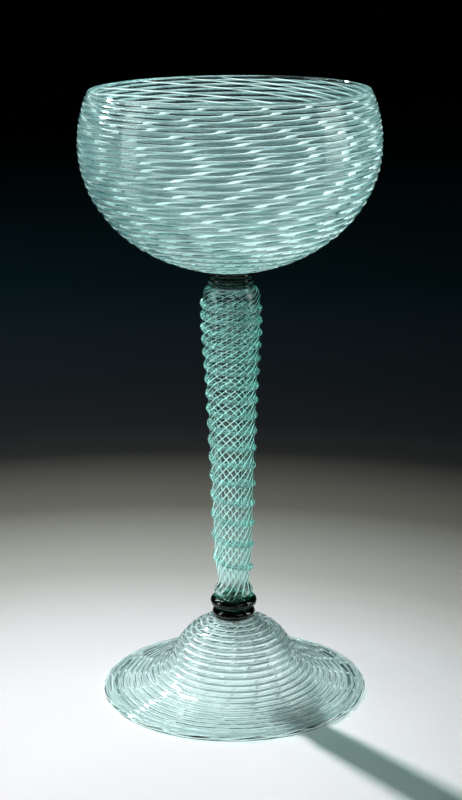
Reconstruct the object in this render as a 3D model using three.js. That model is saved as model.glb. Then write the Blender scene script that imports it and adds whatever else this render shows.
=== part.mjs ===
import * as THREE from 'three';
import { mergeVertices } from 'three/addons/utils/BufferGeometryUtils.js';

// A goblet of threaded glass. A wide round bowl stands on a tall stem and a bell-shaped foot.
// Bowl, stem and foot are each blown from pale blue-green glass, and rings of dark green glass join them.
// One pale thread is wound round the bowl and one round the foot. Steep white threads lie on the stem,
// and a milled trail climbs over them the other way.
// Everything is in millimetres, +Z up. The origin is the centre of the foot, on the table.

// Pieces that are fused on the real goblet stand this far apart here.
const fuseGap = 0.3;

// The foot: a thin shell whose rim is folded under to make a thick edge.
const foot = {
  radius: 54.9,
  height: 31,
  seatRadius: 8.4,
  wall: 1.6,
  // Points of the outside between the folded rim and the seat, as shares of radius and height.
  outlineShares: [
    [0.765, 0.132], [0.656, 0.2], [0.556, 0.3], [0.492, 0.403], [0.466, 0.484],
    [0.443, 0.587], [0.404, 0.703], [0.355, 0.806], [0.297, 0.89], [0.228, 0.955],
  ],
};
const footRim = {
  width: 6.5,
  thickness: 2.7,
  lip: 2.2,
};

// The two dark rings between foot and stem.
const knop = {
  radius: 8.9,
  height: 4.9,
};
const merese = {
  radius: 9.65,
  height: 4.4,
};

// The stem: a blown tube that swells towards the bowl and has a short neck above its lower ring.
const stem = {
  length: 130.7,
  radius: 10.6,
  wall: 1.6,
  // Points of the outside from the lower end up, as shares of radius and length.
  outlineShares: [
    [0.58, 0], [0.627, 0.018], [0.53, 0.043], [0.566, 0.07], [0.626, 0.117], [0.675, 0.231], [0.722, 0.396],
    [0.786, 0.536], [0.863, 0.691], [0.946, 0.799], [1, 0.862], [1, 0.971], [0.94, 0.992], [0.835, 1],
  ],
};

// The clear pad on top of the stem, and the two thin dark rings under the bowl.
const pad = {
  radius: 9.5,
  height: 1.4,
};
const collar = {
  count: 2,
  radius: 9.1,
  height: 2.05,
};

// The bowl: widest a little below its rim. Its shoulder runs in from there to the rim.
const bowl = {
  height: 71.6,
  equatorRadius: 58.7,
  shoulderHeight: 21,
  shoulderWidth: 4.3,
  seatRadius: 8.6,
  wall: 1.3,
};

// Windings. A strand is flat where it lies on the wall and crowned outside. The pitch is the step from
// turn to turn along the wall, and it changes evenly from one end of the wall to the other.
// Round the bowl and round the foot goes one pale thread, as wide as its share of the pitch.
const bowlThread = {
  widthShare: 0.56,
  height: 0.8,
  topPitch: 2.15,
  basePitch: 7.2,
  topMargin: 1.3,
  baseMargin: 3,
};
const footThread = {
  widthShare: 0.5,
  height: 0.8,
  topPitch: 2.8,
  basePitch: 3.1,
  topMargin: 1.6,
  baseMargin: 1,
};

// Steep white threads lie side by side on the stem. Here the pitch is the step between neighbours.
const stemThread = {
  count: 16,
  width: 0.6,
  height: 0.5,
  topPitch: 1.1,
  basePitch: 5.4,
  topMargin: 1.8,
  baseMargin: 1.2,
};

// The trail: one ribbon of glass, wound over the stem's threads.
const trail = {
  width: 1.9,
  height: 1.4,
  topPitch: 4.7,
  basePitch: 10,
  topMargin: 4,
  baseMargin: 11.5,
};

// Sections of the windings, as shares of width and height, and how much of them is left at a thin end.
const threadCrownShares = [[-0.5, 0], [0.5, 0], [0.25, 1], [-0.25, 1]];
const trailCrownShares = [[-0.5, 0], [0.5, 0], [0.38, 0.7], [0, 1], [-0.38, 0.7]];
const tipShare = 0.4;

// Shape counts.
const wallSides = 20;
const stemSides = 12;
const ringSides = 16;
const trailStepsPerTurn = 16;
const cupRings = 10;
const shoulderRings = 3;
const footRings = 12;
const roundSteps = 6;
const lipSteps = 4;
const windingSamples = 400;
const leastStepShare = 0.02;

// Heights of the pieces, each seated on the one below it.
const knopBase = foot.height + fuseGap;
const mereseBase = knopBase + knop.height + fuseGap;
const stemBase = mereseBase + merese.height + fuseGap;
const padBase = stemBase + stem.length + fuseGap;
const collarBase = padBase + pad.height + fuseGap;
const collarStep = collar.height + fuseGap;
const bowlBase = collarBase + collar.count * collarStep;

// Colours of the glass.
const clearGlass = { color: 0xa9d6cf, roughness: 0.05, metalness: 0, transparent: true, opacity: 0.45 };
const paleThread = { color: 0xb4d6d1, roughness: 0.15, metalness: 0 };
const whiteThread = { color: 0xe4f1ee, roughness: 0.25, metalness: 0 };
const darkGlass = { color: 0x10302b, roughness: 0.05, metalness: 0 };
const trailGlass = { color: 0x4fa79b, roughness: 0.1, metalness: 0 };

// An outline is the outside of a turned wall, from its lower end to its upper end, as a row of rings
// (radius, height) with straight pieces between them. Distances run along it from its lower end.
function makeOutline(rings) {
  const distances = [0];
  for (let i = 1; i < rings.length; i += 1) {
    distances.push(distances[i - 1] + rings[i].distanceTo(rings[i - 1]));
  }
  const length = distances[distances.length - 1];
  const tangents = rings.map((ring, i) => {
    const before = rings[Math.max(i - 1, 0)];
    const after = rings[Math.min(i + 1, rings.length - 1)];
    return after.clone().sub(before).normalize();
  });

  // The place at a distance, and the direction that points out of the wall there.
  function at(distance) {
    let i = 1;
    while (i < rings.length - 1 && distances[i] < distance) i += 1;
    const share = (distance - distances[i - 1]) / (distances[i] - distances[i - 1]);
    const point = rings[i - 1].clone().lerp(rings[i], share);
    const along = tangents[i - 1].clone().lerp(tangents[i], share).normalize();
    return { radius: point.x, height: point.y, outRadius: along.y, outHeight: -along.x };
  }

  function distanceAtRadius(radius) {
    const i = rings.findIndex((ring, k) => k > 0 && (ring.x - radius) * (rings[k - 1].x - radius) <= 0);
    const share = (radius - rings[i - 1].x) / (rings[i].x - rings[i - 1].x);
    return THREE.MathUtils.lerp(distances[i - 1], distances[i], share);
  }

  return { at, distanceAtRadius, distances, length, rings, tangents };
}

// The inside of a wall, from its upper end to its lower end.
function insideOf({ rings, tangents }, wall) {
  const inside = rings.map((ring, i) => {
    const along = tangents[i];
    return new THREE.Vector2(ring.x - wall * along.y, ring.y + wall * along.x);
  });
  return inside.reverse();
}

// A solid turned about the Z axis from a profile of (radius, height) that runs round it anticlockwise.
function turned(profile, sides) {
  const geometry = new THREE.LatheGeometry(profile, sides);
  geometry.rotateX(Math.PI / 2);
  geometry.deleteAttribute('normal');
  geometry.deleteAttribute('uv');
  const merged = mergeVertices(geometry);
  const index = merged.index.array;
  const kept = [];
  for (let i = 0; i < index.length; i += 3) {
    const [a, b, c] = [index[i], index[i + 1], index[i + 2]];
    if (a !== b && b !== c && c !== a) kept.push(a, b, c);
  }
  merged.setIndex(kept);
  merged.computeVertexNormals();
  return merged;
}

// The outside of the bowl: two quarter ellipses that meet at the widest circle.
function bowlOutline() {
  const equator = bowlBase + bowl.height - bowl.shoulderHeight;
  const seatShare = bowl.seatRadius / bowl.equatorRadius;
  const rimShare = (bowl.equatorRadius - bowl.shoulderWidth) / bowl.equatorRadius;
  const depth = equator - bowlBase;
  const rise = (bowl.shoulderHeight - bowl.wall / 2) / Math.sqrt(1 - rimShare ** 2);
  const lowest = Math.acos(seatShare);
  const highest = Math.acos(rimShare);
  const rings = [];
  for (let i = -cupRings; i <= shoulderRings; i += 1) {
    const angle = i < 0 ? lowest * i / cupRings : highest * i / shoulderRings;
    const reach = i < 0 ? depth : rise;
    rings.push(new THREE.Vector2(bowl.equatorRadius * Math.cos(angle), equator + reach * Math.sin(angle)));
  }
  return makeOutline(rings);
}

// The wall of the bowl: a nearly flat seat, the outside, a fire-polished lip and the inside.
function bowlWall(outline) {
  const inside = insideOf(outline, bowl.wall);
  const outer = outline.rings[outline.rings.length - 1];
  const middle = outer.clone().add(inside[0]).multiplyScalar(1 / 2);
  const lip = [];
  for (let i = 1; i < lipSteps; i += 1) {
    const spoke = outer.clone().sub(middle).rotateAround(new THREE.Vector2(), Math.PI * i / lipSteps);
    lip.push(middle.clone().add(spoke));
  }
  const seatMiddle = new THREE.Vector2(0, bowlBase);
  const floorMiddle = new THREE.Vector2(0, inside[inside.length - 1].y);
  return turned([seatMiddle, ...outline.rings, ...lip, ...inside, floorMiddle], wallSides);
}

// The outside of the foot, from the inner edge of the folded rim up to the seat of the rings.
function footOutline() {
  const edge = new THREE.Vector2(foot.radius - footRim.width - fuseGap, footRim.thickness);
  const middle = foot.outlineShares.map(([r, h]) => new THREE.Vector2(r * foot.radius, h * foot.height));
  const seat = new THREE.Vector2(foot.seatRadius, foot.height);
  return makeOutline(new THREE.SplineCurve([edge, ...middle, seat]).getSpacedPoints(footRings));
}

// The wall of the foot: a thin bell, closed at its crown and open below.
function footWall(outline) {
  const inside = insideOf(outline, foot.wall);
  const crown = new THREE.Vector2(0, foot.height);
  const under = new THREE.Vector2(0, inside[0].y);
  return turned([under, ...inside, ...outline.rings, crown], wallSides);
}

// The folded rim: flat below, where the goblet stands, and rounded at its outer lip.
function footRimRing() {
  const inner = foot.radius - footRim.width;
  const lipRadius = footRim.lip / 2;
  const points = [new THREE.Vector2(inner, 0)];
  for (let i = 0; i <= lipSteps; i += 1) {
    const angle = Math.PI * (i / lipSteps - 1 / 2);
    const radius = foot.radius - lipRadius * (1 - Math.cos(angle));
    points.push(new THREE.Vector2(radius, lipRadius * (1 + Math.sin(angle))));
  }
  points.push(new THREE.Vector2(inner, footRim.thickness), new THREE.Vector2(inner, 0));
  return turned(points, wallSides);
}

// The outside of the stem.
function stemOutline() {
  return makeOutline(stem.outlineShares.map(
    ([r, h]) => new THREE.Vector2(r * stem.radius, stemBase + h * stem.length)));
}

// The wall of the stem: a tube that is open at both ends, where its neighbours close it.
function stemTube({ rings }) {
  const bore = rings.map((ring) => new THREE.Vector2(ring.x - stem.wall, ring.y)).reverse();
  return turned([...rings, ...bore, rings[0]], stemSides);
}

// A disc of glass with a round edge, as the rings and the pad are.
function roundDisc({ radius, height }, base) {
  const half = height / 2;
  const points = [new THREE.Vector2(0, base)];
  for (let i = 0; i <= roundSteps; i += 1) {
    const angle = Math.PI * (i / roundSteps - 1 / 2);
    const edge = radius - half * (1 - Math.cos(angle));
    points.push(new THREE.Vector2(edge, base + half * (1 + Math.sin(angle))));
  }
  points.push(new THREE.Vector2(0, base + height));
  return turned(points, ringSides);
}

// How much nearer the axis a flat facet lies than the corners of its wall, at an angle round it.
function facetShare(angle, sides) {
  const facet = 2 * Math.PI / sides;
  const fromMiddle = THREE.MathUtils.euclideanModulo(angle, facet) - facet / 2;
  return Math.cos(facet / 2) / Math.cos(fromMiddle);
}

// Turns made at even steps down a winding. The lead is the way down in one turn.
function turnsDown(length, { topLead, baseLead }) {
  const turns = [0];
  for (let i = 1; i <= windingSamples; i += 1) {
    const lead = THREE.MathUtils.lerp(topLead, baseLead, (i - 1 / 2) / windingSamples);
    turns.push(turns[i - 1] + length / windingSamples / lead);
  }
  return turns;
}

// The turns at which a winding has a spot: its two ends, its even steps, and where it crosses a ring.
function stopsOf(wholeTurns, start, steps, crossings) {
  const stops = [...crossings];
  for (let step = Math.ceil(start * steps); step / steps - start < wholeTurns; step += 1) {
    stops.push(step / steps - start);
  }
  const apart = leastStepShare / steps;
  const kept = [0];
  stops.sort((a, b) => a - b).forEach((stop) => {
    if (stop - kept[kept.length - 1] > apart && wholeTurns - stop > apart) kept.push(stop);
  });
  return [...kept, wholeTurns];
}

// The route of a winding down a wall, between two distances along its outline. It is a row of spots,
// each with its place on the wall and the direction that points out of the wall there.
function windingRoute(outline, winding) {
  const { top, base, hand, start, steps, reachShare, rings } = winding;
  const length = top - base;
  const turns = turnsDown(length, winding);
  const crossed = rings.filter((distance) => distance > base && distance < top);
  const crossings = crossed.map((distance) => {
    const sample = (top - distance) / length * windingSamples;
    const i = Math.floor(sample);
    return THREE.MathUtils.lerp(turns[i], turns[i + 1], sample - i);
  });
  let i = 1;
  return stopsOf(turns[windingSamples], start, steps, crossings).map((turn) => {
    while (i < windingSamples && turns[i] < turn) i += 1;
    const share = (i - 1 + (turn - turns[i - 1]) / (turns[i] - turns[i - 1])) / windingSamples;
    const spot = outline.at(top - length * share);
    const angle = -hand * 2 * Math.PI * (start + turn);
    const across = new THREE.Vector3(Math.cos(angle), Math.sin(angle), 0);
    const place = across.clone().multiplyScalar(spot.radius * reachShare(angle));
    place.z = spot.height;
    const out = across.multiplyScalar(spot.outRadius);
    out.z = spot.outHeight;
    return { place, out, share };
  });
}

// A closed tube along a route. The section gives its corners for a share of the route, as steps
// sideways along the wall and outwards from it, anticlockwise when seen against the run.
function tubeAlong(route, section) {
  const corners = [];
  route.forEach(({ place, out, share }, i) => {
    const before = route[Math.max(i - 1, 0)].place;
    const after = route[Math.min(i + 1, route.length - 1)].place;
    const along = after.clone().sub(before).normalize();
    const side = along.clone().cross(out).normalize();
    section(share).forEach(([sideways, outwards]) => {
      corners.push(place.clone().addScaledVector(side, sideways).addScaledVector(out, outwards));
    });
  });

  const count = section(0).length;
  const index = [];
  for (let i = 0; i + 1 < route.length; i += 1) {
    for (let k = 0; k < count; k += 1) {
      const a = i * count + k;
      const b = i * count + (k + 1) % count;
      index.push(a, a + count, b + count, a, b + count, b);
    }
  }
  const last = (route.length - 1) * count;
  for (let k = 1; k + 1 < count; k += 1) {
    index.push(0, k, k + 1, last, last + k + 1, last + k);
  }
  const geometry = new THREE.BufferGeometry().setFromPoints(corners);
  geometry.setIndex(index);
  geometry.computeVertexNormals();
  return geometry;
}

const group = new THREE.Group();

function twoDigits(number) {
  return String(number).padStart(2, '0');
}

function add(name, geometry, look) {
  const mesh = new THREE.Mesh(geometry, new THREE.MeshStandardMaterial(look));
  mesh.name = name;
  group.add(mesh);
}

// One strand wound left-handed round a wall, with a crown outside and thin ends. widthAt gives its width
// for a share of the way down. Prints how often it goes round, and how near it comes to itself.
function addWinding(name, look, outline, winding, laid) {
  const { top, base, seat, steps, reachShare, widthAt, crownShares } = laid;
  const route = windingRoute(outline, {
    top,
    base,
    topLead: winding.topPitch,
    baseLead: winding.basePitch,
    hand: -1,
    start: 0,
    steps,
    reachShare,
    rings: [],
  });
  const turns = route.length / steps;
  const section = (share) => {
    const turnsFromEnd = Math.min(share, 1 - share) * turns;
    const size = THREE.MathUtils.lerp(tipShare, 1, Math.min(turnsFromEnd, 1));
    return crownShares.map(([w, h]) => [w * widthAt(share) * size, seat + h * winding.height * size]);
  };
  add(name, tubeAlong(route, section), look);
  const gap = leastGap(route, steps, widthAt);
  console.log(`${name}: ${turns.toFixed(1)} turns, least gap to itself ${gap.toFixed(2)} mm`);
}

// The least gap between turns of a winding: spots more than half a turn apart, less its width.
function leastGap(route, steps, widthAt) {
  let least = Infinity;
  for (let i = 0; i < route.length; i += 1) {
    for (let k = i + steps / 2; k < route.length; k += 1) {
      const width = (widthAt(route[i].share) + widthAt(route[k].share)) / 2;
      least = Math.min(least, route[i].place.distanceTo(route[k].place) - width);
    }
  }
  return least;
}

// The thread round the bowl or the foot. It has a spot at each corner between facets, so that it lies
// along the faceted wall.
function addThread(name, thread, outline, top, base) {
  addWinding(name, paleThread, outline, thread, {
    top,
    base,
    seat: fuseGap,
    steps: wallSides,
    reachShare: (angle) => facetShare(angle, wallSides),
    widthAt: (share) => thread.widthShare * THREE.MathUtils.lerp(thread.topPitch, thread.basePitch, share),
    crownShares: threadCrownShares,
  });
}

function addFoot() {
  const outline = footOutline();
  add('foot_wall', footWall(outline), clearGlass);
  add('foot_rim', footRimRing(), clearGlass);
  const top = outline.distanceAtRadius(knop.radius + footThread.topMargin);
  addThread('foot_thread', footThread, outline, top, footThread.baseMargin);
}

function addStem() {
  const outline = stemOutline();
  add('lower_knop', roundDisc(knop, knopBase), darkGlass);
  add('lower_merese', roundDisc(merese, mereseBase), darkGlass);
  add('stem_tube', stemTube(outline), clearGlass);
  add('stem_pad', roundDisc(pad, padBase), clearGlass);
  addStemThreads(outline);
  addTrail(outline);
}

// The white threads of the stem, started evenly round it and right-handed. A thread has a spot at each
// corner between facets and at each ring of the outline, so that it lies along the faceted wall.
function addStemThreads(outline) {
  const { count, width, height, topPitch, basePitch, topMargin, baseMargin } = stemThread;
  const section = [[-width / 2, fuseGap], [width / 2, fuseGap], [0, fuseGap + height]];
  for (let i = 0; i < count; i += 1) {
    const route = windingRoute(outline, {
      top: outline.length - topMargin,
      base: baseMargin,
      topLead: count * topPitch,
      baseLead: count * basePitch,
      hand: 1,
      start: i / count,
      steps: stemSides,
      reachShare: (angle) => facetShare(angle, stemSides),
      rings: outline.distances,
    });
    add(`stem_thread_${twoDigits(i + 1)}`, tubeAlong(route, () => section), whiteThread);
  }
}

// The trail runs over the threads. Its straight steps are set out until their middles clear them.
function addTrail(outline) {
  const chordShare = 1 / Math.cos(Math.PI / trailStepsPerTurn);
  addWinding('stem_trail', trailGlass, outline, trail, {
    top: outline.length - trail.topMargin,
    base: trail.baseMargin,
    seat: fuseGap + stemThread.height + fuseGap,
    steps: trailStepsPerTurn,
    reachShare: () => chordShare,
    widthAt: () => trail.width,
    crownShares: trailCrownShares,
  });
}

function addBowl() {
  const outline = bowlOutline();
  for (let i = 0; i < collar.count; i += 1) {
    add(`upper_merese_${twoDigits(i + 1)}`, roundDisc(collar, collarBase + i * collarStep), darkGlass);
  }
  add('bowl_wall', bowlWall(outline), clearGlass);
  const widest = Math.max(collar.radius, bowl.seatRadius);
  const base = outline.distanceAtRadius(widest + bowlThread.baseMargin);
  addThread('bowl_thread', bowlThread, outline, outline.length - bowlThread.topMargin, base);
}

addFoot();
addStem();
addBowl();

export default group;
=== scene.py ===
# %% [markdown]
# # A goblet of threaded glass
# The goblet is blown from pale blue-green glass in three parts, a bowl, a stem and a foot, and rings of
# nearly black green glass join them. White canes run inside the wall of each part. Round the outside of
# the bowl and the foot goes a narrow ridge of clear glass, nearly level, with a milky band between its
# turns. The ridge is a small lens, and it breaks the canes behind it into short bright dashes. A milled
# strand of blue-green glass climbs the stem.
# This lesson rebuilds the goblet on a frame that holds the measured pieces. Every size is in metres, +Z
# is up, and the goblet stands on the floor at the origin.

# %% Load the frame
import math
from collections import namedtuple

import bpy
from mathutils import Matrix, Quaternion, Vector


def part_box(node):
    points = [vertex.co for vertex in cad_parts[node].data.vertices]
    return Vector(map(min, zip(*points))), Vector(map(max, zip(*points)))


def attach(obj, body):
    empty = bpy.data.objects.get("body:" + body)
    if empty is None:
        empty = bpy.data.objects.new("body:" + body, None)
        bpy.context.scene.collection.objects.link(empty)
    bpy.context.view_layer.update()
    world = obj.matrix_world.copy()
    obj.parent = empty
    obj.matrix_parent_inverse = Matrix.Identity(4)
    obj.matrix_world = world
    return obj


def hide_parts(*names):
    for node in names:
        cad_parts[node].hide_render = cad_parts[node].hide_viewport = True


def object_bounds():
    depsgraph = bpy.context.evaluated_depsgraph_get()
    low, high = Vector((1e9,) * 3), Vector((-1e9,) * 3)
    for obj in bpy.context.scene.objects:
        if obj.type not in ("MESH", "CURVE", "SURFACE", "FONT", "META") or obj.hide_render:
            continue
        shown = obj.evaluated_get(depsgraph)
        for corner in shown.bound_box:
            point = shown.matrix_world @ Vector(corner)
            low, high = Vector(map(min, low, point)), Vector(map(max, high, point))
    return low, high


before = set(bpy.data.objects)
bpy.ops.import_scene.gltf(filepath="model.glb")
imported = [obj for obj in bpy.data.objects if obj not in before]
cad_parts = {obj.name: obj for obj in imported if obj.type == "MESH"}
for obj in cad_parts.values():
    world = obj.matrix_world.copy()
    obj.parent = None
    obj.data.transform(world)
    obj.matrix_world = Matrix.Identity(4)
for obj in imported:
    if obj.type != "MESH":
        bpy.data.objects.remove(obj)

MM = 0.001
scene = bpy.context.scene
frame_low, frame_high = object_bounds()
print("frame box in mm:", [round(v / MM, 2) for v in (*frame_low, *frame_high)])

# %% [markdown]
# ## The view
# The camera stands three quarters of a metre away and looks down at 15 degrees, so the mouth of the
# bowl shows as a thin ellipse and the foot as a wide one. The lens is a long one. A slight roll gives
# the lean that the goblet has in the picture.

# %% Camera
VIEW_DISTANCE = 0.727
VIEW_HEIGHT = 0.325
VIEW_PITCH = math.radians(15.39)
VIEW_ROLL = math.radians(0.45)
VIEW_SHARE_RIGHT = -0.0013
LENS = 83.9
SENSOR_WIDTH = 36
FARTHEST_SEEN = 100

camera_data = bpy.data.cameras.new("view")
camera_data.lens = LENS
camera_data.sensor_width = SENSOR_WIDTH
camera_data.shift_x = VIEW_SHARE_RIGHT
camera_data.clip_end = FARTHEST_SEEN
camera = bpy.data.objects.new("view", camera_data)
camera.location = (0, -VIEW_DISTANCE, VIEW_HEIGHT)
camera.rotation_mode = "QUATERNION"
looking = Vector((0, math.cos(VIEW_PITCH), -math.sin(VIEW_PITCH)))
camera.rotation_quaternion = Quaternion(looking, VIEW_ROLL) @ looking.to_track_quat("-Z", "Y")
scene.collection.objects.link(camera)
scene.camera = camera
scene.view_settings.view_transform = "Standard"
print("camera at", tuple(camera.location))

# %% [markdown]
# ## Small helpers for node trees
# A node tree is easier to read as a sum than as a heap of nodes. `make` adds a node and fills its
# sockets. A `Field` wraps one socket, so that `a * b + c` adds the Math nodes for that sum. Vectors use
# the same signs, and get Vector Math nodes.

# %% Node helpers


def feed(tree, socket, value):
    """Links a field or a socket to a node's input, or writes a plain value into it."""
    if isinstance(value, Field):
        value = value.socket
    if isinstance(value, bpy.types.NodeSocket):
        tree.links.new(value, socket)
    else:
        socket.default_value = value


def make(tree, kind, inputs=(), **settings):
    """Adds a node. The inputs are a dict by name or number, or a row in order, with None left alone."""
    made = tree.nodes.new(kind)
    for name, value in settings.items():
        setattr(made, name, value)
    pairs = inputs.items() if isinstance(inputs, dict) else enumerate(inputs)
    for key, value in pairs:
        if value is not None:
            feed(tree, made.inputs[key], value)
    return made


class Field:
    """One value inside a node tree, a number or a vector, that sums and products can use."""

    def __init__(self, tree, socket):
        self.tree = tree
        self.socket = socket

    def is_vector(self):
        return self.socket.type in ("VECTOR", "RGBA")

    def math(self, operation, *others):
        kind = "ShaderNodeVectorMath" if self.is_vector() else "ShaderNodeMath"
        node = make(self.tree, kind, (self, *others), operation=operation)
        return Field(self.tree, node.outputs["Value" if operation == "LENGTH" else 0])

    def __add__(self, other):
        return self.math("ADD", other)

    def __sub__(self, other):
        return self.math("SUBTRACT", other)

    def __rsub__(self, other):
        return self * -1 + other

    def __mul__(self, other):
        if self.is_vector():
            node = make(self.tree, "ShaderNodeVectorMath", {0: self, "Scale": other}, operation="SCALE")
            return Field(self.tree, node.outputs[0])
        return self.math("MULTIPLY", other)

    def __truediv__(self, other):
        return self.math("DIVIDE", other)

    def __pow__(self, other):
        return self.math("POWER", other)

    def part(self, name):
        """X, Y or Z of a vector."""
        node = make(self.tree, "ShaderNodeSeparateXYZ", (self,))
        return Field(self.tree, node.outputs[name])


def vector_of(tree, x, y, z):
    return Field(tree, make(tree, "ShaderNodeCombineXYZ", (x, y, z)).outputs[0])


def new_tree(name, kind, sockets):
    """A node tree with named sockets: (name, type, IN or OUT, default). Returns it with its inputs."""
    tree = bpy.data.node_groups.new(name, kind)
    for label, socket_type, side, default in sockets:
        socket = tree.interface.new_socket(name=label, in_out=side + "PUT", socket_type=socket_type)
        if default is not None:
            socket.default_value = default
    given = tree.nodes.new("NodeGroupInput")
    fields = {s.name: Field(tree, s) for s in given.outputs if s.name}
    return tree, fields


FLOAT, INT, VECTOR = "NodeSocketFloat", "NodeSocketInt", "NodeSocketVector"
GEOMETRY, MATERIAL = "NodeSocketGeometry", "NodeSocketMaterial"
print("node helpers ready")

# %% [markdown]
# ## Outlines
# A turned piece is drawn as half of its section, a row of points (radius, height). The bowl's outside
# is two quarter ellipses that meet at its widest circle, so a formula gives it. The stem and the foot
# have softer shapes, so a smooth curve runs through a few points that were measured on the picture.

# %% Outline helpers


def smooth_curve(points, steps):
    """A smooth curve through points, with that many steps between neighbours."""
    ends = [2 * points[0] - points[1], *points, 2 * points[-1] - points[-2]]
    curve = []
    for i in range(1, len(ends) - 2):
        a, b, c, d = ends[i - 1:i + 3]
        for step in range(steps):
            t = step / steps
            curve.append((2 * b + (c - a) * t + (2 * a - 5 * b + 4 * c - d) * t ** 2
                          + (3 * b - a - 3 * c + d) * t ** 3) / 2)
    return [*curve, points[-1]]


def lengths_along(outline):
    """How far along the outline each of its points lies."""
    total = [0.0]
    for before, after in zip(outline, outline[1:]):
        total.append(total[-1] + (after - before).length)
    return total


def place_at(outline, lengths, distance):
    """The point at a distance along an outline."""
    distance = min(max(distance, 0.0), lengths[-1])
    i = 1
    while i < len(outline) - 1 and lengths[i] < distance:
        i += 1
    share = (distance - lengths[i - 1]) / (lengths[i] - lengths[i - 1])
    return outline[i - 1].lerp(outline[i], share)


def moved_in(outline, wall):
    """The other face of a wall. An outline that runs down the outside is moved towards the axis."""
    inside = []
    for i, point in enumerate(outline):
        along = outline[min(i + 1, len(outline) - 1)] - outline[max(i - 1, 0)]
        along.normalize()
        inside.append(point + Vector((along.y, -along.x)) * wall)
    return inside


def arc(centre, start, turn, steps):
    """Points on a circle about centre, from start, turned by turn degrees."""
    spoke = start - centre
    points = []
    for i in range(steps + 1):
        angle = math.radians(turn) * i / steps
        points.append(centre + Vector((spoke.x * math.cos(angle) - spoke.y * math.sin(angle),
                                       spoke.x * math.sin(angle) + spoke.y * math.cos(angle))))
    return points


print("outline helpers ready")

# %% [markdown]
# ## Windings
# Ridges, bands, canes and the trail are all wound from the top down. The pitch is the step along the
# wall from one strand to its neighbour, and it changes on the way down. Walking down the outline in
# equal parts of a turn gives the stations of a winding. The ridge of a wall and the band between its
# turns share their stations, so they can't drift apart.

# %% Winding helper
LEFT_HANDED, RIGHT_HANDED = -1.0, 1.0


def stations_down(outline, starts, pitches, per_turn, easing=1):
    """Points down an outline, and the pitch at each. A strand makes the same part of a turn from each
    point to the next. pitches are the first and the last, and easing bends the change between them."""
    top_pitch, base_pitch = pitches
    lengths = lengths_along(outline)
    distance = 0.0
    stations, steps = [], []
    while distance < lengths[-1]:
        stations.append(place_at(outline, lengths, distance))
        share = distance / lengths[-1]
        steps.append(top_pitch + (base_pitch - top_pitch) * share ** easing)
        distance += starts * steps[-1] / per_turn
    return stations, steps


print("winding helper ready")

# %% [markdown]
# ## Geometry Nodes: from a flat grid to a turned form
# Every wall and strand here starts as a flat grid, because a grid's points are easy to count. Each point
# is then put in its place by a sum over its row, its column and the outline's points, which the tree
# samples by their index. Points that come to lie in one place are welded, so seams and poles close.

# %% Geometry helpers
WELD = 1e-6


def sample_point(tree, outline, index):
    """The outline's point at an index."""
    position = tree.nodes.new("GeometryNodeInputPosition").outputs[0]
    node = make(tree, "GeometryNodeSampleIndex", {"Geometry": outline, "Value": None, "Index": index},
                data_type="FLOAT_VECTOR", domain="POINT", clamp=True)
    feed(tree, node.inputs["Value"], position)
    return Field(tree, node.outputs[0])


def in_section(tree, point):
    """A sampled point without the number that it carries in Y."""
    return vector_of(tree, point.part("X"), 0, point.part("Z"))


def grid_with_steps(tree, rows, columns):
    """A flat grid, and two fields with the number of each point's row and column."""
    grid = make(tree, "GeometryNodeMeshGrid", (1, 1, rows, columns)).outputs["Mesh"]
    flat = Field(tree, tree.nodes.new("GeometryNodeInputPosition").outputs[0])
    row = ((flat.part("X") + 0.5) * (rows - 1)).math("ROUND")
    column = ((flat.part("Y") + 0.5) * (columns - 1)).math("ROUND")
    return grid, row, column


def set_position(tree, geometry, position):
    return make(tree, "GeometryNodeSetPosition", {"Geometry": geometry, "Position": position}).outputs[0]


def turned_place(tree, point, angle):
    """An outline's point, whose X is a radius and Z a height, turned about the axis."""
    radius = point.part("X")
    return vector_of(tree, radius * angle.math("COSINE"), radius * angle.math("SINE"), point.part("Z"))


def turned_sheet(tree, outline, first, points, columns):
    """A plain sheet: the outline's points from the first one on, turned about the axis."""
    grid, row, column = grid_with_steps(tree, points, columns + 1)
    angle = column / columns * math.tau
    place = turned_place(tree, sample_point(tree, outline, row + first), angle)
    return set_position(tree, grid, place)


def finish_tree(tree, geometry, material):
    """Realized, smooth and with its material, as every tree here ends."""
    smooth = make(tree, "GeometryNodeSetShadeSmooth", {"Geometry": geometry})
    whole = make(tree, "GeometryNodeRealizeInstances", {"Geometry": smooth.outputs[0]})
    painted = make(tree, "GeometryNodeSetMaterial", {"Geometry": whole.outputs[0], "Material": material})
    out = tree.nodes.new("NodeGroupOutput")
    tree.links.new(painted.outputs[0], out.inputs[0])


print("geometry helpers ready")

# %% [markdown]
# ## Geometry Nodes: a ridged wall
# The wall of a threaded piece follows a rule. Its rows run along the ridges and not level, so that
# every ridge has clean, even faces. A row is a line of one phase of the winding, and the phase says how
# far the glass is lifted. Plain sheets, turned about the axis, close the wall at its lip and its base.
# The input mesh only holds the outline's points in order: those before the stations, the stations, and
# those after them. Hand-blown glass is never quite even, so slow waves shift all of it a little, apart
# from the part that stands on the floor.

# %% Tree for ridged walls
STILL_BELOW = 2 * MM
UNEVEN_SCALE = 22.0
FADES_PER_TURN = 4


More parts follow.
